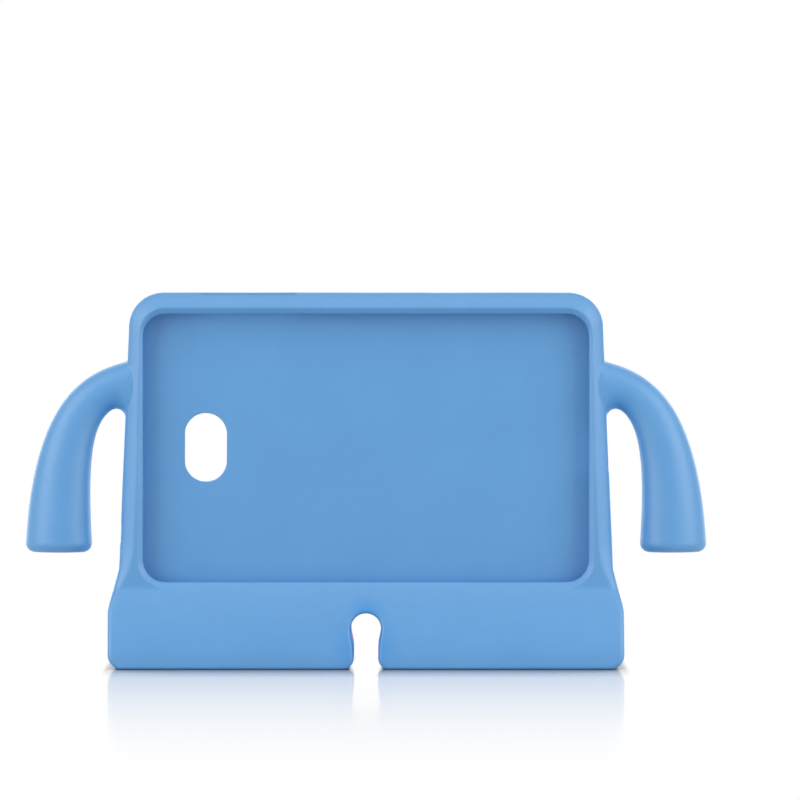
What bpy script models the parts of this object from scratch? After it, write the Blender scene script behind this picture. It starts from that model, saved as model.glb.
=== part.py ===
"""Kids tablet case: one moulded piece of soft foam that stands on two flared feet.

The case is a rolled-edge plate with a keyhole notch between its feet. Its depth grows
towards the floor, a curved arm hangs from each shoulder, and a pocket behind the front
lip holds the tablet. Metres, +Z up, the front faces -Y, origin under the middle of the feet.
"""

import math

import bmesh
import bpy
from mathutils import Matrix, Vector

# Tablet that the pocket is made for
TABLET_LENGTH = 0.2542
TABLET_HEIGHT = 0.1553
TABLET_DEPTH = 0.0082
TABLET_CORNER = 0.0135
POCKET_CLEARANCE = 0.0005

# Lip that holds the tablet in from the front
LIP_OVERLAP = 0.0030
LIP_THICKNESS = 0.0042
LIP_EDGE = 0.0014
LIP_SLOPE = 0.0034
WINDOW_CORNER = 0.0120

# Foam round the pocket
POCKET_RISE = 0.0449
BACK_WALL = 0.0093
TOP_WALL = 0.0088
SIDE_WALL_TOP = 0.0052
SIDE_WALL_WAIST = 0.0097
TOP_CORNER = 0.0200
EDGE_ROLL = 0.0056
BACK_DRAFT = 0.0030

# Feet
FOOT_DEPTH = 0.0600
FOOT_SPREAD = 0.0069
FOOT_HEIGHT = 0.0300
FOOT_CORNER = 0.0080
WAIST_HEIGHT = 0.0560
TOE_LENGTH = 0.0130
TOE_HEIGHT = 0.0100
HEEL_HEIGHT = 0.0200
HEEL_TOP = 0.0660

# Keyhole notch between the feet
NOTCH_HEIGHT = 0.0306
NOTCH_BULB_WIDTH = 0.0162
NOTCH_THROAT_WIDTH = 0.0131
NOTCH_THROAT_HEIGHT = 0.0105
NOTCH_MOUTH_RADIUS = 0.0058

# Arms, from the shoulder to the flat end of the hand
SHOULDER_HEIGHT = 0.1594
ARM_REACH = 0.0379
ARM_DROP = 0.0963
ARM_ROOT_DEPTH = 0.0032
ARM_ROOT_RADIUS = 0.0124
ARM_HAND_RADIUS = 0.0188
ARM_ROOT_FLATNESS = 0.76
ARM_HAND_FLATNESS = 0.82
ARMPIT_FILLET = 0.0090
SHOULDER_FILLET = 0.0026
HAND_ROUNDING = 0.0066

# Camera opening in the back
CAMERA_FROM_MIDDLE = 0.0897
CAMERA_WIDTH = 0.0224
CAMERA_HEIGHT = 0.0374
CAMERA_FLARE = 0.0029

# Openings to the tablet's sockets and buttons
CHARGER_WIDTH = 0.0240
HEADPHONE_DROP = 0.0480
HEADPHONE_WIDTH = 0.0100
BUTTONS_FROM_MIDDLE = 0.0660
BUTTONS_WIDTH = 0.0560
SOCKET_DEPTH = 0.0080
SOCKET_FLARE = 0.0012

# Fineness of the facets
ARC_STEPS = 7
ROLL_STEPS = 4
CURVE_STEPS = 7
FLARE_STEPS = 15
ROOT_STEPS = 8
ARM_STEPS = 16
ARM_SIDES = 28
OVERSHOOT = 0.0060

FOAM_COLOUR = (0.138, 0.361, 0.701, 1.0)
FOAM_ROUGHNESS = 0.62

# Sizes that follow from the ones above
POCKET_LENGTH = TABLET_LENGTH + 2 * POCKET_CLEARANCE
POCKET_HEIGHT = TABLET_HEIGHT + 2 * POCKET_CLEARANCE
POCKET_DEPTH = TABLET_DEPTH + POCKET_CLEARANCE
POCKET_CORNER = TABLET_CORNER + POCKET_CLEARANCE
POCKET_MIDDLE = POCKET_RISE + POCKET_HEIGHT / 2
WINDOW_LENGTH = TABLET_LENGTH - 2 * LIP_OVERLAP
WINDOW_HEIGHT = TABLET_HEIGHT - 2 * LIP_OVERLAP
BODY_HEIGHT = POCKET_RISE + POCKET_HEIGHT + TOP_WALL
BODY_DEPTH = LIP_THICKNESS + POCKET_DEPTH + BACK_WALL
TOP_HALF_WIDTH = POCKET_LENGTH / 2 + SIDE_WALL_TOP
WAIST_HALF_WIDTH = POCKET_LENGTH / 2 + SIDE_WALL_WAIST
FOOT_HALF_WIDTH = WAIST_HALF_WIDTH + FOOT_SPREAD
FOOT_FRONT = -FOOT_DEPTH / 2
FOOT_BACK = FOOT_DEPTH / 2
BODY_FRONT = FOOT_FRONT + TOE_LENGTH
GLASS_PLANE = BODY_FRONT + LIP_THICKNESS
POCKET_FLOOR = GLASS_PLANE + POCKET_DEPTH
BODY_BACK = BODY_FRONT + BODY_DEPTH
TABLET_MIDDLE_PLANE = GLASS_PLANE + TABLET_DEPTH / 2


def smooth_step(start, end, value):
    """0 before start, 1 after end, with a smooth S between them."""
    share = min(1.0, max(0.0, (value - start) / (end - start)))
    return share * share * (3 - 2 * share)


def mix(first, second, share):
    return first + (second - first) * share


def arc(centre, radius, start_deg, end_deg, steps=ARC_STEPS):
    """Points of an arc in the plane of the front, as (x, z)."""
    angles = [math.radians(mix(start_deg, end_deg, i / steps)) for i in range(steps + 1)]
    return [(centre[0] + radius * math.cos(a), centre[1] + radius * math.sin(a)) for a in angles]


def s_curve(start, end, steps=CURVE_STEPS):
    """Points that run from start to end in z, and swing across in x with an S."""
    points = []
    for i in range(1, steps):
        z = mix(start[1], end[1], i / steps)
        points.append((mix(start[0], end[0], smooth_step(start[1], end[1], z)), z))
    return points


def bezier(values, t):
    """Cubic curve through four control values, which are numbers or vectors."""
    a, b, c, d = values
    s = 1 - t
    return a * s**3 + b * (3 * s * s * t) + c * (3 * s * t * t) + d * t**3


def half_width(z):
    """Half the width of the plain side above the waist, which leans in towards the top."""
    lean_top = BODY_HEIGHT - TOP_CORNER
    return mix(WAIST_HALF_WIDTH, TOP_HALF_WIDTH, (z - WAIST_HEIGHT) / (lean_top - WAIST_HEIGHT))


def front_outline():
    """The case's outline seen from the front, without its arms."""
    bulb = NOTCH_BULB_WIDTH / 2
    throat = NOTCH_THROAT_WIDTH / 2
    bulb_middle = NOTCH_HEIGHT - bulb
    mouth = NOTCH_MOUTH_RADIUS
    right = arc((0, bulb_middle), bulb, 90, 0)
    right += s_curve((bulb, bulb_middle), (throat, NOTCH_THROAT_HEIGHT))
    right += [(throat, NOTCH_THROAT_HEIGHT)]
    right += arc((throat + mouth, mouth), mouth, 180, 270)
    right += arc((FOOT_HALF_WIDTH - FOOT_CORNER, FOOT_CORNER), FOOT_CORNER, 270, 360)
    right += [(FOOT_HALF_WIDTH, FOOT_HEIGHT)]
    right += s_curve((FOOT_HALF_WIDTH, FOOT_HEIGHT), (WAIST_HALF_WIDTH, WAIST_HEIGHT))
    right += [(WAIST_HALF_WIDTH, WAIST_HEIGHT)]
    right += arc((TOP_HALF_WIDTH - TOP_CORNER, BODY_HEIGHT - TOP_CORNER), TOP_CORNER, 0, 90)
    left = [(-x, z) for x, z in reversed(right[1:])]
    return right + left


def back_plane(z):
    """The plain back, which leans so that the wall is thicker low down."""
    return BODY_BACK + BACK_DRAFT * (BODY_HEIGHT - z) / BODY_HEIGHT


def front_at(z):
    """How far forward the front face stands at a height."""
    return mix(FOOT_FRONT, BODY_FRONT, smooth_step(TOE_HEIGHT, POCKET_RISE, z))


def back_at(z):
    """How far back the back face stands at a height."""
    return mix(FOOT_BACK, back_plane(z), smooth_step(HEEL_HEIGHT, HEEL_TOP, z))


def collection(name):
    made = bpy.data.collections.new(name)
    bpy.context.scene.collection.children.link(made)
    return made


def add_object(name, mesh, home):
    made = bpy.data.objects.new(name, mesh)
    home.objects.link(made)
    return made


def as_tool(tool):
    """Marks a solid that only shapes the case."""
    tool.hide_render = True
    tool.display_type = "WIRE"
    return tool


def mesh_from_curve(curve_object):
    """Turns a curve object into a mesh in place, with its caps welded on."""
    bpy.context.view_layer.update()
    graph = bpy.context.evaluated_depsgraph_get()
    mesh = bpy.data.meshes.new_from_object(curve_object.evaluated_get(graph))
    mesh.transform(curve_object.matrix_world)
    bpy.data.objects.remove(curve_object)
    shape = bmesh.new()
    shape.from_mesh(mesh)
    bmesh.ops.remove_doubles(shape, verts=shape.verts, dist=0.00001)
    bmesh.ops.recalc_face_normals(shape, faces=shape.faces)
    shape.to_mesh(mesh)
    shape.free()
    return mesh


def rolled_plate(home):
    """The outline as a plate of the body's depth, its edge rolled all round."""
    curve = bpy.data.curves.new("plate_outline", "CURVE")
    curve.dimensions = "2D"
    curve.fill_mode = "BOTH"
    roll = min(EDGE_ROLL, NOTCH_MOUTH_RADIUS * 0.97, BODY_DEPTH * 0.45)
    curve.extrude = BODY_DEPTH / 2 - roll
    curve.bevel_depth = roll
    curve.bevel_resolution = ROLL_STEPS
    curve.offset = -roll
    points = front_outline()
    spline = curve.splines.new("POLY")
    spline.points.add(len(points) - 1)
    for point, (x, z) in zip(spline.points, points):
        point.co = (x, z, 0, 1)
    spline.use_cyclic_u = True
    plate = add_object("plate_outline", curve, home)
    plate.rotation_euler = (math.radians(90), 0, 0)
    return mesh_from_curve(plate)


def cut_into_levels(shape):
    """Joins the flat front and back into one face each, and cuts them across where the feet flare."""
    for side in (-1, 1):
        flat = [f for f in shape.faces if f.normal.y * side > 0.9999]
        bmesh.ops.dissolve_faces(shape, faces=flat)
    for i in range(FLARE_STEPS):
        height = mix(TOE_HEIGHT / 2, HEEL_TOP, i / (FLARE_STEPS - 1))
        every = [*shape.verts, *shape.edges, *shape.faces]
        bmesh.ops.bisect_plane(shape, geom=every, plane_co=(0, 0, height), plane_no=(0, 0, 1))


def deepen_towards_floor(shape):
    """Moves the front and back apart, so that the case flares into toes and heels."""
    half = BODY_DEPTH / 2
    for vert in shape.verts:
        x, y, z = vert.co
        if y < 0:
            vert.co.y = front_at(z) + (y + half)
        else:
            vert.co.y = back_at(z) - (half - y)


def body_mesh(home):
    mesh = rolled_plate(home)
    shape = bmesh.new()
    shape.from_mesh(mesh)
    cut_into_levels(shape)
    deepen_towards_floor(shape)
    bmesh.ops.remove_doubles(shape, verts=shape.verts, dist=0.00005)
    bmesh.ops.recalc_face_normals(shape, faces=shape.faces)
    shape.to_mesh(mesh)
    shape.free()
    return mesh


def skin(name, loops, home):
    """A closed solid through loops of points that have one length, with flat ends."""
    shape = bmesh.new()
    rows = [[shape.verts.new(point) for point in loop] for loop in loops]
    for first, second in zip(rows, rows[1:]):
        for i in range(len(first)):
            j = (i + 1) % len(first)
            shape.faces.new((first[i], first[j], second[j], second[i]))
    shape.faces.new(rows[0])
    shape.faces.new(rows[-1])
    bmesh.ops.remove_doubles(shape, verts=shape.verts, dist=0.00001)
    bmesh.ops.recalc_face_normals(shape, faces=shape.faces)
    mesh = bpy.data.meshes.new(name)
    shape.to_mesh(mesh)
    shape.free()
    return as_tool(add_object(name, mesh, home))


def fillet_growth(radius, distance):
    """How much wider a root is at a distance from its wall, where a fillet joins the two."""
    if distance >= radius:
        return 0.0
    inward = radius - max(0.0, distance)
    return radius - math.sqrt(max(0.0, radius * radius - inward * inward))


def off_side(point):
    """How far a point stands off the plain side of the body."""
    return point.x - half_width(point.z)


def arm_path():
    """Control points of the right arm's middle line, from inside the body to the end of the hand."""
    reach = ARM_REACH + ARM_ROOT_DEPTH
    drop = ARM_DROP - HAND_ROUNDING
    shoulder = Vector((half_width(SHOULDER_HEIGHT) - ARM_ROOT_DEPTH, 0, SHOULDER_HEIGHT))
    return (
        shoulder,
        shoulder + Vector((reach * 0.74, 0, -drop * 0.042)),
        shoulder + Vector((reach * 0.99, 0, -drop * 0.338)),
        shoulder + Vector((reach, 0, -drop)),
    )


def arm_steps(path):
    """Places along the arm: close together where the fillets are, then evenly down to the hand."""
    fillet = max(ARMPIT_FILLET, SHOULDER_FILLET) + ARM_ROOT_DEPTH
    per_metre = 1 / (3 * (path[1].x - path[0].x))
    root = [mix(0.45, 1, i / ROOT_STEPS) * fillet * per_metre for i in range(ROOT_STEPS + 1)]
    plain = [mix(root[-1], 1, i / ARM_STEPS) for i in range(1, ARM_STEPS + 1)]
    return [0, *root, *plain]


def arm_rings():
    """The right arm's rings: place, direction, radius, half depth and the fillets above and below."""
    path = arm_path()
    radii = [mix(ARM_ROOT_RADIUS, ARM_HAND_RADIUS, share) for share in (0, -0.52, 0.48, 1)]
    rings = []
    for t in arm_steps(path):
        place = bezier(path, t)
        ahead = (bezier(path, t + 0.002) - bezier(path, t - 0.002)).normalized()
        radius = bezier(radii, t)
        upward = Vector((-ahead.z, 0, ahead.x)) * radius
        above = fillet_growth(SHOULDER_FILLET, off_side(place + upward))
        below = fillet_growth(ARMPIT_FILLET, off_side(place - upward))
        depth = radius * mix(ARM_ROOT_FLATNESS, ARM_HAND_FLATNESS, t)
        rings.append((place, ahead, radius, depth, above, below))
    place, ahead, radius, depth, above, below = rings[-1]
    for i in range(1, ROLL_STEPS + 1):
        angle = math.radians(90 * i / ROLL_STEPS)
        inset = HAND_ROUNDING * (1 - math.cos(angle))
        onward = place + ahead * (HAND_ROUNDING * math.sin(angle))
        rings.append((onward, ahead, radius - inset, depth - inset, above, below))
    return rings


def arm(name, side, home):
    """A drooping arm: a tapered tube along a curve, wider than deep, with a rounded flat end."""
    middle_plane = (BODY_FRONT + BODY_BACK) / 2
    loops = []
    for place, ahead, radius, depth, above, below in arm_rings():
        upward = Vector((-ahead.z, 0, ahead.x))
        loop = []
        for i in range(ARM_SIDES):
            up = math.cos(math.tau * i / ARM_SIDES)
            back = math.sin(math.tau * i / ARM_SIDES)
            fillet = above if up > 0 else below
            point = place + upward * (radius * up) + Vector((0, 0, fillet * up))
            loop.append((side * point.x, middle_plane + depth * back, point.z))
        loops.append(loop)
    return skin(name, loops, home)


def rounded_rectangle(width, height, corner):
    """Outline of a rectangle with round corners about the origin, as pairs of numbers."""
    corner = min(corner, width / 2, height / 2)
    across = width / 2 - corner
    up = height / 2 - corner
    points = []
    for quarter, (sx, sz) in enumerate(((1, 1), (-1, 1), (-1, -1), (1, -1))):
        points += arc((sx * across, sz * up), corner, quarter * 90, quarter * 90 + 90)
    return points


def loft(name, rings, turn, place, home):
    """A closed solid through rings of (outline, distance along its axis), turned and then placed."""
    place = Vector(place)
    loops = []
    for outline, distance in rings:
        loops.append([place + turn @ Vector((u, distance, v)) for u, v in outline])
    return skin(name, loops, home)


def no_turn():
    return Matrix.Identity(3)


def turn_about_z(degrees):
    return Matrix.Rotation(math.radians(degrees), 3, "Z")


def pocket_tool(home):
    outline = rounded_rectangle(POCKET_LENGTH, POCKET_HEIGHT, POCKET_CORNER)
    rings = [(outline, GLASS_PLANE), (outline, POCKET_FLOOR)]
    return loft("pocket_tool", rings, no_turn(), (0, 0, POCKET_MIDDLE), home)


def window_tool(home):
    """The window in the lip: a straight edge by the glass, then a slope that rolls out to the front."""
    slope_depth = LIP_THICKNESS - LIP_EDGE
    rings = []
    for grow, rise in ((0, -LIP_THICKNESS), (0, 0), (0.54, 0.62), (0.72, 0.80), (1.5, 1.22)):
        if rise < 0:
            distance = GLASS_PLANE + POCKET_DEPTH / 2
        else:
            distance = GLASS_PLANE - LIP_EDGE - slope_depth * rise
        outline = rounded_rectangle(
            WINDOW_LENGTH + 2 * LIP_SLOPE * grow,
            WINDOW_HEIGHT + 2 * LIP_SLOPE * grow,
            WINDOW_CORNER + LIP_SLOPE * grow,
        )
        rings.append((outline, distance))
    return loft("window_tool", rings, no_turn(), (0, 0, POCKET_MIDDLE), home)


def flared_hole(name, width, height, flare, wall, turn, place, home):
    """A round-ended hole through a wall, opening out to its outer face. It runs along +Y before its turn."""
    rings = []
    for distance in (-OVERSHOOT / 2, wall + OVERSHOOT):
        grow = flare * distance / wall
        corner = min(width, height) / 2 + grow
        rings.append((rounded_rectangle(width + 2 * grow, height + 2 * grow, corner), distance))
    return loft(name, rings, turn, place, home)


def camera_tool(home):
    wall = back_plane(POCKET_MIDDLE) - POCKET_FLOOR
    place = (-CAMERA_FROM_MIDDLE, POCKET_FLOOR, POCKET_MIDDLE)
    return flared_hole(
        "camera_tool", CAMERA_WIDTH, CAMERA_HEIGHT, CAMERA_FLARE, wall, no_turn(), place, home
    )


def charger_tool(home):
    wall = half_width(POCKET_MIDDLE) - POCKET_LENGTH / 2
    place = (POCKET_LENGTH / 2, TABLET_MIDDLE_PLANE, POCKET_MIDDLE)
    return flared_hole(
        "charger_tool", SOCKET_DEPTH, CHARGER_WIDTH, SOCKET_FLARE, wall, turn_about_z(-90), place, home
    )


def headphone_tool(home):
    height = POCKET_MIDDLE - HEADPHONE_DROP
    wall = half_width(height) - POCKET_LENGTH / 2
    place = (-POCKET_LENGTH / 2, TABLET_MIDDLE_PLANE, height)
    return flared_hole(
        "headphone_tool", SOCKET_DEPTH, HEADPHONE_WIDTH, SOCKET_FLARE, wall, turn_about_z(90), place, home
    )


def buttons_tool(home):
    turn = Matrix.Rotation(math.radians(90), 3, "X")
    place = (-BUTTONS_FROM_MIDDLE, TABLET_MIDDLE_PLANE, POCKET_RISE + POCKET_HEIGHT)
    return flared_hole(
        "buttons_tool", BUTTONS_WIDTH, SOCKET_DEPTH, SOCKET_FLARE, TOP_WALL, turn, place, home
    )


def foam():
    material = bpy.data.materials.new("blue_foam")
    material.use_nodes = True
    surface = material.node_tree.nodes["Principled BSDF"]
    surface.inputs["Base Color"].default_value = FOAM_COLOUR
    surface.inputs["Roughness"].default_value = FOAM_ROUGHNESS
    return material


def shape_with(body, tool, operation):
    modifier = body.modifiers.new(tool.name, "BOOLEAN")
    modifier.operation = operation
    modifier.solver = "EXACT"
    modifier.object = tool


def main():
    for old in list(bpy.data.objects):
        bpy.data.objects.remove(old)
    parts = collection("kids_tablet_case")
    tools = collection("shaping_tools")
    body = add_object("foam_case", body_mesh(tools), parts)
    body.data.shade_smooth()
    body.data.set_sharp_from_angle(angle=math.radians(35))
    body.data.materials.append(foam())
    for name, side in (("left_arm", -1), ("right_arm", 1)):
        shape_with(body, arm(name, side, tools), "UNION")
    for make_tool in (
        pocket_tool,
        window_tool,
        camera_tool,
        charger_tool,
        headphone_tool,
        buttons_tool,
    ):
        shape_with(body, make_tool(tools), "DIFFERENCE")


main()
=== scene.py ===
"""The looks of a kids tablet case: one soft moulding of blue closed-cell foam on a white studio floor."""

import math

import bmesh
import bpy
from mathutils import Matrix, Vector, noise


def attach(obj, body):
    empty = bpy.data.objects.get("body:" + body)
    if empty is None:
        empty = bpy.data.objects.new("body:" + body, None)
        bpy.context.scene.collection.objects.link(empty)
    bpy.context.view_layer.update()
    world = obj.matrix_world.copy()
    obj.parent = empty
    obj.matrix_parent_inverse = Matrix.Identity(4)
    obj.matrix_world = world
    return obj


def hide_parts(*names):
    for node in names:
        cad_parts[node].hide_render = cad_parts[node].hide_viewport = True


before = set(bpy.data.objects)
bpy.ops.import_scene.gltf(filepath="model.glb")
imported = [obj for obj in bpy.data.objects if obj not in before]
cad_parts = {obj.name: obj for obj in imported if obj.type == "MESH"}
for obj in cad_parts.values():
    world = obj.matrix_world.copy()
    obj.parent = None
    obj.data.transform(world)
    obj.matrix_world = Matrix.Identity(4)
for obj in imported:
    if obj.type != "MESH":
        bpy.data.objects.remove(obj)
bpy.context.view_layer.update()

# Body, in metres: outline from the front, depth and rolled edges
BODY_HEIGHT = 0.2100
BODY_FRONT = -0.0170
BODY_BACK = 0.0052
BACK_DRAFT = 0.0030
TOP_HALF_WIDTH = 0.1328
WAIST_HALF_WIDTH = 0.1383
FOOT_HALF_WIDTH = 0.1443
TOP_CORNER = 0.0200
FOOT_CORNER = 0.0080
WAIST_HEIGHT = 0.0568
FOOT_HEIGHT = 0.0310
WAIST_BEND = 0.0100
EDGE_ROLL = 0.0056
EDGE_SEGMENTS = 8

# Front edge, round the window, beside the feet, and at the sole and notch:
# width of its bank, slope of the bank, depth of the roll at its outer side
RIM_EDGE = Vector((0.0086, 0.46, 0.0024))
FOOT_EDGE = Vector((0.0030, 0.0, 0.0024))
SOLE_EDGE = Vector((0.0026, 0.0, 0.0026))
RIM_EDGE_STARTS, RIM_EDGE_FULL = 0.028, 0.078
EDGE_REACH = EDGE_ROLL * 1.01

# Feet
FOOT_FRONT = -0.0300
FOOT_BACK = 0.0300
SOLE_HEIGHT = 0.0060
TOE_TOP = 0.0449
TOE_BULGE = 1.6
HEEL_HEIGHT = 0.0200
HEEL_TOP = 0.0660

# Cuts through the plate that let it bend in depth
LEVELS = 46
LOWEST_LEVEL = 0.0050
BESIDE_NOTCH = 0.020

# Keyhole notch
NOTCH_TOP = 0.0306
NOTCH_BULB = 0.0081
NOTCH_THROAT = 0.00655
NOTCH_THROAT_HEIGHT = 0.0105
NOTCH_MOUTH = 0.0058

# Pocket, its lip and its window
POCKET_SIZE = (0.2552, 0.1563)
POCKET_CORNER = 0.0140
POCKET_MIDDLE = 0.12305
WINDOW_SIZE = (0.2482, 0.1493)
WINDOW_CORNER = 0.0120
GLASS_PLANE = -0.0128
POCKET_FLOOR = -0.0041
LIP_EDGE = 0.0018
LIP_SLOPE = 0.0034
WINDOW_STEPS = ((0, 0), (1.0, 0.97), (1.5, 1.455))

# Arms
ARM_PATH = (
    Vector((0.1310, 0.0, 0.1594)),
    Vector((0.1614, 0.0, 0.1556)),
    Vector((0.1717, 0.0, 0.1291)),
    Vector((0.1719, 0.0, 0.0697)),
)
ARM_RADII = (0.0124, 0.0091, 0.0155, 0.0188)
ARM_FLATNESS = (0.76, 0.82)
ARM_PLANE = -0.0059
ARMPIT_FILLET = 0.0085
SHOULDER_FILLET = 0.0008
FILLET_END = 0.35
HAND_ROUNDING = 0.0054

# Arms: corners of a ring, shares of the path with closer rings, and steps along each stretch
RING_CORNERS = 56
ROOT_START, ROOT_END = 0.03, 0.15
ROOT_STEPS = 14
ARM_STEPS = 34
HAND_STEPS = 8
PATH_NUDGE = 0.002

# Openings to the tablet: middle, size across, size along, and how far each flares
CAMERA_MIDDLE = (-0.0897, 0.12305)
CAMERA_SIZE = (0.0224, 0.0374)
CAMERA_FLARE = 0.0029
CAMERA_WALL = 0.0105
SOCKET_PLANE = -0.0087
SOCKET_DEPTH = 0.0054
SOCKET_FLARE = 0.0004
CHARGER_LENGTH = 0.0240
HEADPHONE_LENGTH = 0.0100
HEADPHONE_HEIGHT = 0.07505
BUTTONS_MIDDLE = -0.0660
BUTTONS_LENGTH = 0.0560

# Mouth of an opening: share of the wall at each ring, and share of the roll there
MOUTH_STEPS = ((0.8, 0), (0.92, 0.05), (1.0, 0.17), (1.05, 0.35))
MOUTH_ROLL = 0.004
MOUTH_END_GROWTH, MOUTH_END_RISE = 0.005, 0.0015
OVERCUT = 0.003

# Skin: grid and smoothing, then how far it swells and how far it settles inwards
SKIN_VOXEL = 0.00062
SKIN_SMOOTHING = 4
SKIN_TRIANGLES = 190000
BROAD_SWELL, FINE_SWELL = 26, 75
FINE_SWELL_SHARE = 0.35
SWELL = 0.00014
SINK = 0.00026
FLAT_SOLE = 0.0015

# Distances under which places are taken as the same, and the corners of a round corner
NEAR = 0.0001
DOUBLES = 0.00002
CORNER_STEPS = 14

# Foam: colours, scale and detail of its noises, and their shares
DEEP_BLUE = (0.090, 0.312, 0.640, 1.0)
PALE_BLUE = (0.112, 0.356, 0.698, 1.0)
# Painted shade: the deeper blue laid into the armpits and round the notch
PAINTED_SHADE_BLUE = (0.028, 0.262, 0.660, 1.0)
CLOUDS = {"Scale": 24.0, "Detail": 3.0}
PATCHES = {"Scale": 110.0, "Detail": 2.0}
GRAIN = {"Scale": 850.0, "Detail": 2.0}
CELLS = {"Scale": 1250.0, "Smoothness": 0.6, "Randomness": 0.9}
CLOUD_TONE, PATCH_TONE, GRAIN_TONE = 0.9, 0.45, 0.5
DULLNESS, CLOUD_DULLNESS, GRAIN_DULLNESS = 0.45, 0.10, 0.12
CELL_RELIEF, GRAIN_RELIEF, PATCH_RELIEF = 0.55, 0.45, 1.2
RELIEF = {"Strength": 0.35, "Distance": 0.00012}
FOAM_IOR = 1.7

# Painted shade: a deeper blue in the armpits and round the notch, mirrored left and right: middle across and
# up, reach, strength
PAINTED_SHADE_SPOTS = (
    (0.1416, 0.1455, 0.0135, 0.90),
    (0.0, 0.0306, 0.0135, 1.10),
    (0.0, 0.0130, 0.0220, 1.25),
)
PAINTED_SHADE_FADE = 1.4

# Floor: the shadow's start and reach beside and before the feet, and the painted light that clears it to
# white in the notch
FLOOR_HALF_SIZE = 9.0
SHADOW_START = 0.004
SHADOW_BESIDE, SHADOW_BEFORE = 0.007, 0.080
NOTCH_LIGHT_WIDTH, NOTCH_LIGHT_REACH, NOTCH_LIGHT = 1.2, 0.120, 5.0

# Floor: closeness of the case, what it does to the tone, where closeness darkens it as a painted contact
# shadow, and the tone in the light that the case gets
CLOSE_DISTANCE, CLOSE_SAMPLES = 0.09, 8
CLEAR_FADE, SHADE_FADE = 6.0, 3.0
FLOOR_TONE, FLOOR_BOUNCE = 0.86, 0.6

# Floor: the faint mirror image
MIRROR_REACH = 0.75
MIRROR_FADE = 1.6
MIRROR_SHARE = 0.74
MIRROR_IOR = 1.45
MIRROR_ROUGHNESS = 0.10

# Light: the white room's share, then name, place, size and power of each softbox
WHITE = (1, 1, 1, 1)
WORLD_LEVEL = 0.26
LIT_POINT = (0.0, 0.0, 0.11)
SOFTBOXES = (
    ("left_side", (-0.95, -0.66, 0.46), (0.80, 1.1), 7.2),
    ("right_side", (0.95, -0.66, 0.46), (0.80, 1.1), 7.2),
    ("above_front", (0.0, -0.75, 1.60), (1.6, 0.6), 5.0),
    ("left_rear", (-0.85, 1.15, 0.50), (0.80, 1.1), 5.6),
    ("right_rear", (0.85, 1.15, 0.50), (0.80, 1.1), 5.6),
    ("above_rear", (0.0, 1.10, 1.40), (1.8, 0.9), 7.0),
)

# Long lens: what it looks at, from how far and how high, and the width it takes in there
LENS_TARGET = Vector((0.0190, BODY_FRONT, 0.1499))
LENS_DISTANCE = 4.0
LENS_RISE = math.radians(1.4)
LENS_VIEW = 0.4464
LENS_SENSOR = 36.0
LENS_CLIP = 50.0


def mix(first, second, share):
    return first + (second - first) * share


def ease(share):
    """Softens both ends of a share, which is a number or a socket from 0 to 1."""
    return share * share * (3.0 - 2.0 * share)


def smooth_step(start, end, value):
    return ease(min(1.0, max(0.0, (value - start) / (end - start))))


def bezier(values, t):
    a, b, c, d = values
    s = 1 - t
    return a * s**3 + b * (3 * s * s * t) + c * (3 * s * t * t) + d * t**3


def half_width(z):
    """Half the body's width above the waist."""
    upright = BODY_HEIGHT - TOP_CORNER - WAIST_HEIGHT
    return mix(WAIST_HALF_WIDTH, TOP_HALF_WIDTH, (z - WAIST_HEIGHT) / upright)


def add_object(name, shape):
    """A finished bmesh as an object at the origin."""
    mesh = bpy.data.meshes.new(name)
    shape.to_mesh(mesh)
    shape.free()
    made = bpy.data.objects.new(name, mesh)
    bpy.context.scene.collection.objects.link(made)
    return made


class Outline:
    """A line of edges in the plane of the front, drawn like a pen path."""

    def __init__(self, shape, x, z):
        self.shape = shape
        self.tip = bmesh.ops.create_vert(shape, co=(x, 0, z))["vert"][0]

    def line(self, x, z):
        made = bmesh.ops.extrude_vert_indiv(self.shape, verts=[self.tip])
        self.tip = made["verts"][0]
        bmesh.ops.translate(self.shape, verts=[self.tip], vec=Vector((x, 0, z)) - self.tip.co)

    def arc(self, centre_x, centre_z, degrees, steps=CORNER_STEPS):
        """Turns about a centre. Positive degrees go clockwise as seen from the front."""
        made = bmesh.ops.spin(
            self.shape,
            geom=[self.tip],
            cent=(centre_x, 0, centre_z),
            axis=(0, 1, 0),
            angle=math.radians(degrees),
            steps=steps,
        )
        self.tip = made["geom_last"][0]

    def ogee(self, x, z, radius=None, steps=8):
        """An S of two arcs that starts and ends upright, with a straight between arcs of a set radius."""
        start = self.tip.co.copy()
        across, up = abs(x - start.x), abs(z - start.z)
        radius = radius or (across**2 + up**2) / (4 * across)
        over = across - 2 * radius
        straight = math.sqrt(max(0.0, over**2 + up**2 - 4 * radius**2))
        turn = math.atan2(over * straight + 2 * radius * up, up * straight - 2 * radius * over)
        side, way = math.copysign(1, x - start.x), math.copysign(1, z - start.z)
        degrees = side * way * math.degrees(turn)
        self.arc(start.x + side * radius, start.z, degrees, steps)
        if straight > NEAR:
            corner = self.tip.co.copy()
            self.line(
                corner.x + side * straight * math.sin(turn), corner.z + way * straight * math.cos(turn)
            )
        self.arc(x - side * radius, z, -degrees, steps)


def way_inwards(x, z):
    """How far a place on the front is from the nearest outer edge, and the way in from that edge."""
    half = mix(FOOT_HALF_WIDTH, half_width(z), smooth_step(FOOT_HEIGHT, WAIST_HEIGHT, z))
    upper = z > BODY_HEIGHT / 2
    corner = TOP_CORNER if upper else FOOT_CORNER
    side, end = half - abs(x), BODY_HEIGHT - z if upper else z
    if side < corner and end < corner:
        out = Vector((corner - side, 0, corner - end))
        distance, way = corner - out.length, -out.normalized()
    elif side < end:
        distance, way = side, Vector((-1, 0, 0))
    else:
        distance, way = end, Vector((0, 0, -1))
    return distance, Vector((math.copysign(way.x, -x), 0, way.z if upper else -way.z))


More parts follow.
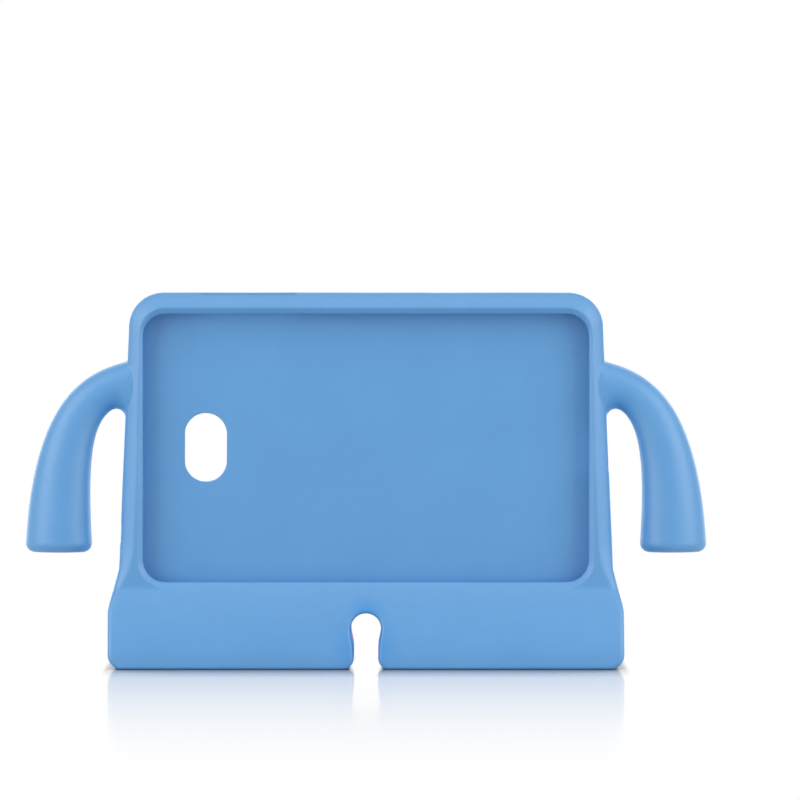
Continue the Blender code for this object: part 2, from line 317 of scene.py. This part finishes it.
def way_from_notch(x, z):
    """How far a place on the front is from the notch's edge, and the way off from it."""
    bulb_middle = NOTCH_TOP - NOTCH_BULB
    mouth = Vector((NOTCH_THROAT + NOTCH_MOUTH, 0, NOTCH_MOUTH))
    if z > bulb_middle:
        off = Vector((x, 0, z - bulb_middle))
        return off.length - NOTCH_BULB, off.normalized()
    if z < mouth.z and abs(x) < mouth.x:
        off = mouth - Vector((abs(x), 0, z))
        distance, way = NOTCH_MOUTH - off.length, off.normalized()
    else:
        throat = mix(NOTCH_THROAT, NOTCH_BULB, smooth_step(NOTCH_THROAT_HEIGHT, bulb_middle, z))
        distance, way = abs(x) - throat, Vector((1, 0, 0))
    return distance, Vector((math.copysign(way.x, x), 0, way.z))


def shape_front_edge(vert, sunk):
    """Turns the even roll of the front edge into a bank round the window and a tight edge at the sole.

    Moves the place over the front, and returns how deep it lies behind the front there.
    """
    x, z = vert.co.x, vert.co.z
    distance, way = way_inwards(x, z)
    edge = mix(FOOT_EDGE, RIM_EDGE, smooth_step(RIM_EDGE_STARTS, RIM_EDGE_FULL, z))
    if z < BODY_HEIGHT / 2:
        edge = mix(edge, SOLE_EDGE, way.z**2)
    notch_distance, notch_way = way_from_notch(x, z)
    if notch_distance < distance:
        distance, way, edge = notch_distance, notch_way, SOLE_EDGE
    if distance > EDGE_REACH:
        return sunk
    width, slope, roll = edge
    vert.co += way * (distance * (width / EDGE_ROLL - 1))
    return sunk * roll / EDGE_ROLL + slope * width * (1 - distance / EDGE_ROLL)


def draw_body_outline(shape):
    """The body's closed outline with its notch: the right half is drawn, then mirrored."""
    pen = Outline(shape, 0, BODY_HEIGHT)
    pen.line(TOP_HALF_WIDTH - TOP_CORNER, BODY_HEIGHT)
    pen.arc(TOP_HALF_WIDTH - TOP_CORNER, BODY_HEIGHT - TOP_CORNER, 90, steps=20)
    pen.line(WAIST_HALF_WIDTH, WAIST_HEIGHT)
    pen.ogee(FOOT_HALF_WIDTH, FOOT_HEIGHT, WAIST_BEND)
    pen.line(FOOT_HALF_WIDTH, FOOT_CORNER)
    pen.arc(FOOT_HALF_WIDTH - FOOT_CORNER, FOOT_CORNER, 90)
    pen.line(NOTCH_THROAT + NOTCH_MOUTH, 0)
    pen.arc(NOTCH_THROAT + NOTCH_MOUTH, NOTCH_MOUTH, 90)
    pen.line(NOTCH_THROAT, NOTCH_THROAT_HEIGHT)
    pen.ogee(NOTCH_BULB, NOTCH_TOP - NOTCH_BULB)
    pen.arc(0, NOTCH_TOP - NOTCH_BULB, -90)
    half = [*shape.verts, *shape.edges]
    bmesh.ops.mirror(shape, geom=half, axis="X", merge_dist=NEAR)
    bmesh.ops.remove_doubles(shape, verts=shape.verts, dist=DOUBLES)


def cut_through(shape, place, facing):
    """Cuts all edges and faces in a plane, and takes nothing away."""
    every = [*shape.verts, *shape.edges, *shape.faces]
    bmesh.ops.bisect_plane(shape, geom=every, plane_co=place, plane_no=facing)


def bend_in_depth(vert, half_depth):
    """Moves a place of the even plate to where the toe, the heel and the drafted back have it."""
    if vert.co.y < 0:
        sunk = shape_front_edge(vert, vert.co.y + half_depth)
        bulge = max(0.0, min(1.0, (vert.co.z - SOLE_HEIGHT) / (TOE_TOP - SOLE_HEIGHT)))
        vert.co.y = mix(FOOT_FRONT, BODY_FRONT, bulge**TOE_BULGE) + sunk
    else:
        sunk = half_depth - vert.co.y
        plain_back = BODY_BACK + BACK_DRAFT * (1 - vert.co.z / BODY_HEIGHT)
        vert.co.y = mix(FOOT_BACK, plain_back, smooth_step(HEEL_HEIGHT, HEEL_TOP, vert.co.z)) - sunk


def body():
    """The plate with its notch, its edges rolled, then drawn out in depth towards the floor."""
    shape = bmesh.new()
    draw_body_outline(shape)
    bmesh.ops.contextual_create(shape, geom=shape.edges)
    depth = BODY_BACK - BODY_FRONT
    bmesh.ops.translate(shape, verts=shape.verts, vec=(0, -depth / 2, 0))
    made = bmesh.ops.extrude_face_region(shape, geom=shape.faces, use_keep_orig=True)
    moved = [v for v in made["geom"] if isinstance(v, bmesh.types.BMVert)]
    bmesh.ops.translate(shape, verts=moved, vec=(0, depth, 0))
    bmesh.ops.recalc_face_normals(shape, faces=shape.faces)
    rims = [e for e in shape.edges if abs(e.verts[0].co.y - e.verts[1].co.y) < NEAR]
    bmesh.ops.bevel(
        shape,
        geom=rims,
        offset=EDGE_ROLL,
        offset_type="OFFSET",
        affect="EDGES",
        segments=EDGE_SEGMENTS,
        profile=0.5,
        clamp_overlap=False,
        material=-1,
    )
    for i in range(LEVELS):
        level = mix(LOWEST_LEVEL, HEEL_TOP, i / (LEVELS - 1))
        cut_through(shape, (0, 0, level), (0, 0, 1))
    for beside in (-BESIDE_NOTCH, BESIDE_NOTCH):
        cut_through(shape, (beside, 0, 0), (1, 0, 0))
    for vert in shape.verts:
        bend_in_depth(vert, depth / 2)
    bmesh.ops.recalc_face_normals(shape, faces=shape.faces)
    return add_object("case_body", shape)


def fillet_growth(radius, distance):
    """How far a fillet of this radius stands out at a distance from the wall it runs into."""
    if distance >= radius:
        return 0.0
    inward = radius - max(0.0, distance)
    return radius - math.sqrt(max(0.0, radius * radius - inward * inward))


def arm_stations():
    """Place, direction, radius and half depth of each ring of the right arm, the hand rounded in."""
    stations = []
    root = [mix(ROOT_START, ROOT_END, i / ROOT_STEPS) for i in range(ROOT_STEPS + 1)]
    onward = [mix(ROOT_END, 1, i / ARM_STEPS) for i in range(1, ARM_STEPS + 1)]
    for t in (0, *root, *onward):
        place = bezier(ARM_PATH, t)
        ahead = (bezier(ARM_PATH, t + PATH_NUDGE) - bezier(ARM_PATH, t - PATH_NUDGE)).normalized()
        radius = bezier(ARM_RADII, t)
        stations.append((place, ahead, radius, radius * mix(*ARM_FLATNESS, t)))
    place, ahead, radius, depth = stations[-1]
    for i in range(1, HAND_STEPS + 1):
        angle = math.radians(90 * i / HAND_STEPS)
        inset = HAND_ROUNDING * (1 - math.cos(angle))
        end = place + ahead * (HAND_ROUNDING * math.sin(angle))
        stations.append((end, ahead, radius - inset, depth - inset))
    return stations


def flare_at_shoulder(vert):
    """Widens the arm up and down where it meets the body, as a moulded fillet does."""
    t = (vert.co.x - ARM_PATH[0].x) / (3 * (ARM_PATH[1].x - ARM_PATH[0].x))
    if t > FILLET_END:
        return
    height = vert.co.z - bezier(ARM_PATH, t).z
    up = height / bezier(ARM_RADII, t)
    fillet = SHOULDER_FILLET if up > 0 else ARMPIT_FILLET
    vert.co.z += up * fillet_growth(fillet, vert.co.x - half_width(vert.co.z))


def arms():
    """A ring swept along each arm: the right one is drawn, then copied to the left."""
    shape = bmesh.new()
    ring = bmesh.ops.create_circle(shape, segments=RING_CORNERS, radius=1)["verts"]
    edges = list({e for v in ring for e in v.link_edges})
    bmesh.ops.contextual_create(shape, geom=edges)
    before = Matrix.Identity(4)
    for number, (place, ahead, radius, depth) in enumerate(arm_stations()):
        if number:
            made = bmesh.ops.extrude_edge_only(shape, edges=edges)["geom"]
            ring = [g for g in made if isinstance(g, bmesh.types.BMVert)]
            edges = [e for e in made if isinstance(e, bmesh.types.BMEdge)]
            edges = [e for e in edges if e.verts[0] in ring and e.verts[1] in ring]
        upward = Vector((-ahead.z, 0, ahead.x))
        turn = Matrix((upward, Vector((0, 1, 0)), ahead)).transposed().to_4x4()
        middle = Matrix.Translation(place + Vector((0, ARM_PLANE, 0)))
        pose = middle @ turn @ Matrix.Diagonal((radius, depth, 1, 1))
        bmesh.ops.transform(shape, matrix=pose @ before.inverted(), verts=ring)
        before = pose
    bmesh.ops.contextual_create(shape, geom=edges)
    for vert in shape.verts:
        flare_at_shoulder(vert)
    copied = bmesh.ops.duplicate(shape, geom=[*shape.verts, *shape.edges, *shape.faces])["geom"]
    left = [v for v in copied if isinstance(v, bmesh.types.BMVert)]
    bmesh.ops.scale(shape, vec=(-1, 1, 1), verts=left)
    bmesh.ops.recalc_face_normals(shape, faces=shape.faces)
    return add_object("case_arms", shape)


def rounded_loop(shape, width, height, corner, distance):
    """The edges of a rectangle with round corners, upright, at a distance along +Y."""
    made = bmesh.ops.create_grid(shape, x_segments=1, y_segments=1, size=0.5)["verts"]
    bmesh.ops.scale(shape, vec=(width, height, 1), verts=made)
    bmesh.ops.rotate(shape, matrix=Matrix.Rotation(math.radians(90), 3, "X"), verts=made)
    bmesh.ops.translate(shape, vec=(0, distance, 0), verts=made)
    turned = bmesh.ops.bevel(
        shape,
        geom=made,
        offset=min(corner, width * 0.4999, height * 0.4999),
        offset_type="OFFSET",
        affect="VERTICES",
        segments=CORNER_STEPS,
        profile=0.5,
        material=-1,
    )
    face = max(turned["verts"][0].link_faces, key=lambda f: f.calc_area())
    edges = list(face.edges)
    bmesh.ops.delete(shape, geom=[face], context="FACES_ONLY")
    return edges


def opening(name, rings, turn, place):
    """A solid through rings of (width, height, corner, distance), turned and placed, to cut with."""
    shape = bmesh.new()
    loops = [rounded_loop(shape, *ring) for ring in rings]
    for first, second in zip(loops, loops[1:]):
        bmesh.ops.bridge_loops(shape, edges=first + second)
    for loop in (loops[0], loops[-1]):
        bmesh.ops.contextual_create(shape, geom=loop)
    bmesh.ops.rotate(shape, matrix=turn, verts=shape.verts)
    bmesh.ops.translate(shape, vec=place, verts=shape.verts)
    bmesh.ops.recalc_face_normals(shape, faces=shape.faces)
    return add_object(name, shape)


def grown(size, corner, grow, distance):
    """A ring for opening(), grown on all sides."""
    return (size[0] + 2 * grow, size[1] + 2 * grow, corner + grow, distance)


def pocket():
    rings = [grown(POCKET_SIZE, POCKET_CORNER, 0, distance) for distance in (GLASS_PLANE, POCKET_FLOOR)]
    return opening("pocket", rings, Matrix.Identity(3), (0, 0, POCKET_MIDDLE))


def window():
    """The window: a thin straight edge by the glass, then a slope that ends in a crease on the bank."""
    slope = GLASS_PLANE - LIP_EDGE - BODY_FRONT
    rings = [grown(WINDOW_SIZE, WINDOW_CORNER, 0, GLASS_PLANE + OVERCUT)]
    for grow, rise in WINDOW_STEPS:
        distance = GLASS_PLANE - LIP_EDGE - slope * rise
        rings.append(grown(WINDOW_SIZE, WINDOW_CORNER, LIP_SLOPE * grow, distance))
    return opening("window", rings, Matrix.Identity(3), (0, 0, POCKET_MIDDLE))


def flared_opening(name, size, flare, wall, turn, place):
    """A hole with round ends through a wall that opens out to the outer face and rolls over there."""
    corner = min(size) / 2
    rings = [grown(size, corner, -flare * OVERCUT / wall, -OVERCUT)]
    for share, roll in MOUTH_STEPS:
        rings.append(grown(size, corner, flare * share + roll * MOUTH_ROLL, wall * share))
    end = wall * MOUTH_STEPS[-1][0] + MOUTH_END_RISE
    rings.append(grown(size, corner, flare + MOUTH_END_GROWTH, end))
    return opening(name, rings, turn, place)


def openings():
    """All the shapes to cut with, in the order of the cuts."""
    quarter = math.radians(90)
    pocket_side = POCKET_SIZE[0] / 2
    pocket_top = POCKET_MIDDLE + POCKET_SIZE[1] / 2
    return [
        pocket(),
        window(),
        flared_opening(
            "camera_opening",
            CAMERA_SIZE,
            CAMERA_FLARE,
            CAMERA_WALL,
            Matrix.Identity(3),
            (CAMERA_MIDDLE[0], POCKET_FLOOR, CAMERA_MIDDLE[1]),
        ),
        flared_opening(
            "charger_opening",
            (SOCKET_DEPTH, CHARGER_LENGTH),
            SOCKET_FLARE,
            half_width(POCKET_MIDDLE) - pocket_side,
            Matrix.Rotation(-quarter, 3, "Z"),
            (pocket_side, SOCKET_PLANE, POCKET_MIDDLE),
        ),
        flared_opening(
            "headphone_opening",
            (SOCKET_DEPTH, HEADPHONE_LENGTH),
            SOCKET_FLARE,
            half_width(HEADPHONE_HEIGHT) - pocket_side,
            Matrix.Rotation(quarter, 3, "Z"),
            (-pocket_side, SOCKET_PLANE, HEADPHONE_HEIGHT),
        ),
        flared_opening(
            "buttons_opening",
            (BUTTONS_LENGTH, SOCKET_DEPTH),
            SOCKET_FLARE,
            BODY_HEIGHT - pocket_top,
            Matrix.Rotation(quarter, 3, "X"),
            (BUTTONS_MIDDLE, SOCKET_PLANE, pocket_top),
        ),
    ]


def baked_mesh(piece, name):
    """The mesh that a piece's modifiers give."""
    bpy.context.view_layer.update()
    graph = bpy.context.evaluated_depsgraph_get()
    mesh = bpy.data.meshes.new_from_object(piece.evaluated_get(graph))
    mesh.name = name
    return mesh


def settle(mesh):
    """Foam shrinks a little and never comes out of its mould quite flat, but its soles stay flat."""
    shape = bmesh.new()
    shape.from_mesh(mesh)
    for vert in shape.verts:
        if vert.co.z > FLAT_SOLE:
            fine = FINE_SWELL_SHARE * noise.noise(vert.co * FINE_SWELL)
            swell = noise.noise(vert.co * BROAD_SWELL) + fine
            vert.co += vert.normal * (SWELL * swell - SINK)
    shape.to_mesh(mesh)
    shape.free()


def moulding():
    """Joins and cuts the forms, then draws one even skin over them, with soft edges."""
    case = body()
    tools = [(arms(), "UNION")] + [(tool, "DIFFERENCE") for tool in openings()]
    for tool, operation in tools:
        step = case.modifiers.new(tool.name, "BOOLEAN")
        step.operation = operation
        step.solver = "EXACT"
        step.object = tool
    skin = case.modifiers.new("even_skin", "REMESH")
    skin.mode = "VOXEL"
    skin.voxel_size = SKIN_VOXEL
    soften = case.modifiers.new("soft_edges", "SMOOTH")
    soften.factor = 0.5
    soften.iterations = SKIN_SMOOTHING
    case.data = baked_mesh(case, "case_skin")
    case.modifiers.clear()
    for tool, _ in tools:
        bpy.data.objects.remove(tool)
    settle(case.data)
    lighten = case.modifiers.new("fewer_faces", "DECIMATE")
    lighten.ratio = min(1.0, SKIN_TRIANGLES / (2 * len(case.data.polygons)))
    case.data = baked_mesh(case, "foam_moulding")
    case.modifiers.clear()
    case.name = "foam_moulding"
    case.data.shade_smooth()
    return case


class Socket:
    """A shader output that Python's arithmetic can use: each operator adds its Math node."""

    def __init__(self, recipe, output):
        self.recipe = recipe
        self.output = output

    def math(self, operation, *others, clamp=False):
        sockets = dict(enumerate((self, *others)))
        return self.recipe.add("Math", {"operation": operation, "use_clamp": clamp}, sockets)

    def _swapped(self, operation, other):
        return self.recipe.add("Math", {"operation": operation}, {0: other, 1: self})

    def __add__(self, other):
        return self.math("ADD", other)

    def __radd__(self, other):
        return self._swapped("ADD", other)

    def __sub__(self, other):
        return self.math("SUBTRACT", other)

    def __rsub__(self, other):
        return self._swapped("SUBTRACT", other)

    def __mul__(self, other):
        return self.math("MULTIPLY", other)

    def __rmul__(self, other):
        return self._swapped("MULTIPLY", other)

    def __truediv__(self, other):
        return self.math("DIVIDE", other)

    def __rtruediv__(self, other):
        return self._swapped("DIVIDE", other)


class Recipe:
    """The nodes of a material or of the world. One method adds any of them."""

    def __init__(self, owner):
        owner.use_nodes = True
        self.tree = owner.node_tree
        self.tree.nodes.clear()

    def add(self, kind, settings=None, sockets=None, out=0):
        node = self.tree.nodes.new("ShaderNode" + kind)
        for key, value in (settings or {}).items():
            setattr(node, key, value)
        for key, value in (sockets or {}).items():
            if isinstance(value, Socket):
                self.tree.links.new(value.output, node.inputs[key])
            else:
                node.inputs[key].default_value = value
        return Socket(self, node.outputs[out] if node.outputs else None)

    def across_and(self, axis, place):
        """How far a place is from the middle across, on either side, and its measure along an axis."""
        across = self.add("SeparateXYZ", None, {"Vector": place}, out="X")
        node = across.output.node
        return across.math("ABSOLUTE"), Socket(self, node.outputs[axis])

    def blend(self, share, first, second):
        """A colour between two, through the colour sockets of a Mix node."""
        return self.add("Mix", {"data_type": "RGBA"}, {"Factor": share, 6: first, 7: second}, out=2)


def painted_shade_tone(mixer, place):
    """How much painted shade deepens the foam's blue, in the armpits and round the notch, where shade falls.
    """
    x, z = mixer.across_and("Z", place)
    tone = None
    for middle_x, middle_z, reach, strength in PAINTED_SHADE_SPOTS:
        across, up = x - middle_x, z - middle_z
        near = 1.0 - (across * across + up * up).math("SQRT") / reach
        shade_spot = near.math("MAXIMUM", 0.0).math("POWER", PAINTED_SHADE_FADE) * strength
        tone = shade_spot if tone is None else tone.math("MAXIMUM", shade_spot)
    return tone.math("MINIMUM", 1.0)


def foam():
    """Closed-cell foam with a moulded skin: fine pebbled grain, soft mottling and a dull sheen."""
    material = bpy.data.materials.new("blue_foam")
    mixer = Recipe(material)
    place = mixer.add("TexCoord", out="Object")
    clouds, patches, grain = (
        mixer.add("TexNoise", None, {"Vector": place, **kind}) for kind in (CLOUDS, PATCHES, GRAIN)
    )
    cells = mixer.add("TexVoronoi", {"feature": "SMOOTH_F1"}, {"Vector": place, **CELLS})
    tone = 0.5 + (clouds - 0.5) * CLOUD_TONE + (patches - 0.5) * PATCH_TONE + (grain - 0.5) * GRAIN_TONE
    skin = mixer.blend(tone.math("MULTIPLY", 1.0, clamp=True), DEEP_BLUE, PALE_BLUE)
    # Painted shade: the blue goes deeper in the armpits and round the notch, where shade falls
    colour = mixer.blend(painted_shade_tone(mixer, place), skin, PAINTED_SHADE_BLUE)
    roughness = DULLNESS + (clouds - 0.5) * CLOUD_DULLNESS + (grain - 0.5) * GRAIN_DULLNESS
    height = cells * CELL_RELIEF + grain * GRAIN_RELIEF + patches * PATCH_RELIEF
    bump = mixer.add("Bump", None, {"Height": height, **RELIEF})
    surface = mixer.add(
        "BsdfPrincipled",
        None,
        {"Base Color": colour, "Roughness": roughness, "Normal": bump, "IOR": FOAM_IOR},
    )
    mixer.add("OutputMaterial", None, {"Surface": surface})
    return material


def seen_as_background(mixer):
    """1 for what the camera sees, straight or in gloss or glass, and 0 for the light on the case."""
    rays = [mixer.add("LightPath", out=f"Is {kind} Ray") for kind in ("Camera", "Glossy", "Transmission")]
    return rays[0].math("MAXIMUM", rays[1].math("MAXIMUM", rays[2]))


def white_ground(mixer, x, before):
    """White like the room, and matte close to the case, with its shadow from the lamps and a painted contact
    shadow that darkens with closeness; under the notch it is painted white.
    """
    beside = (x - FOOT_HALF_WIDTH + SHADOW_START).math("MAXIMUM", 0.0) / SHADOW_BESIDE
    ahead = before / SHADOW_BEFORE
    # Painted light: the floor under and through the notch is cleared to white, without its shadow
    in_notch = NOTCH_LIGHT_WIDTH - x / NOTCH_BULB - before / NOTCH_LIGHT_REACH
    lit = in_notch.math("MAXIMUM", 0.0) * NOTCH_LIGHT
    far = (beside * beside + ahead * ahead + lit).math("MINIMUM", 1.0)
    openness = mixer.add(
        "AmbientOcclusion", {"samples": CLOSE_SAMPLES}, {"Distance": CLOSE_DISTANCE}, out="AO"
    )
    clear = ease(far).math("MAXIMUM", openness.math("POWER", CLEAR_FADE))
    seen = mixer.add("LightPath", out="Is Camera Ray")
    # Painted shadow: the camera sees the floor's tone darkened by closeness to the case; the light on the
    # case gets an even tone
    level = FLOOR_BOUNCE + (openness.math("POWER", SHADE_FADE) * FLOOR_TONE - FLOOR_BOUNCE) * seen
    shade = mixer.add("CombineColor", None, {0: level, 1: level, 2: level})
    white = mixer.add("Emission", None, {"Color": WHITE, "Strength": 1.0})
    matte = mixer.add("BsdfDiffuse", None, {"Color": shade})
    return mixer.add("MixShader", None, {"Fac": seen_as_background(mixer) * clear, 1: matte, 2: white})


def studio_floor():
    """A white sweep that keeps the case's shadow, darkened by its feet as painted contact shadow, and a faint
    reflection of it.
    """
    shape = bmesh.new()
    bmesh.ops.create_grid(shape, x_segments=1, y_segments=1, size=FLOOR_HALF_SIZE)
    floor = add_object("studio_floor", shape)
    material = bpy.data.materials.new("white_floor")
    mixer = Recipe(material)
    x, y = mixer.across_and("Y", mixer.add("TexCoord", out="Object"))
    before = (y.math("ABSOLUTE") - FOOT_BACK).math("MAXIMUM", 0.0)
    ground = white_ground(mixer, x, before)
    fade = (1.0 - before / MIRROR_REACH).math("MAXIMUM", 0.0).math("POWER", MIRROR_FADE)
    polish = mixer.add("Fresnel", None, {"IOR": MIRROR_IOR})
    gloss = mixer.add("BsdfGlossy", None, {"Color": WHITE, "Roughness": MIRROR_ROUGHNESS})
    surface = mixer.add("MixShader", None, {"Fac": fade * polish * MIRROR_SHARE, 1: ground, 2: gloss})
    mixer.add("OutputMaterial", None, {"Surface": surface})
    floor.data.materials.append(material)


def white_surroundings():
    """White behind the case, and a softer white for the light on it."""
    world = bpy.data.worlds.new("white_studio")
    bpy.context.scene.world = world
    mixer = Recipe(world)
    soft = mixer.add("Background", None, {"Color": WHITE, "Strength": WORLD_LEVEL})
    white = mixer.add("Background", None, {"Color": WHITE, "Strength": 1.0})
    both = mixer.add("MixShader", None, {"Fac": seen_as_background(mixer), 1: soft, 2: white})
    mixer.add("OutputWorld", None, {"Surface": both})


def facing(place, target):
    """The turn of a lamp or a lens at a place that looks at a target."""
    return (Vector(target) - Vector(place)).to_track_quat("-Z", "Y").to_euler()


def softbox(name, place, size, power):
    lamp = bpy.data.lights.new(name, "AREA")
    lamp.shape = "RECTANGLE"
    lamp.size, lamp.size_y = size
    lamp.energy = power
    made = bpy.data.objects.new(name, lamp)
    made.location = place
    made.rotation_euler = facing(place, LIT_POINT)
    bpy.context.scene.collection.objects.link(made)


def camera():
    """A long lens straight in front, just above the floor, framed as the photograph is."""
    lens = bpy.data.cameras.new("long_lens")
    lens.sensor_width = LENS_SENSOR
    lens.lens = LENS_SENSOR * LENS_DISTANCE / LENS_VIEW
    lens.clip_end = LENS_CLIP
    made = bpy.data.objects.new("long_lens", lens)
    place = LENS_TARGET + LENS_DISTANCE * Vector((0, -math.cos(LENS_RISE), math.sin(LENS_RISE)))
    made.location = place
    made.rotation_euler = facing(place, LENS_TARGET)
    bpy.context.scene.collection.objects.link(made)
    bpy.context.scene.camera = made


camera()
white_surroundings()
for row in SOFTBOXES:
    softbox(*row)
studio_floor()
bpy.context.scene.view_settings.view_transform = "Standard"

case = moulding()
case.data.materials.clear()
case.data.materials.append(foam())
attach(case, "root")
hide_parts("foam_case")
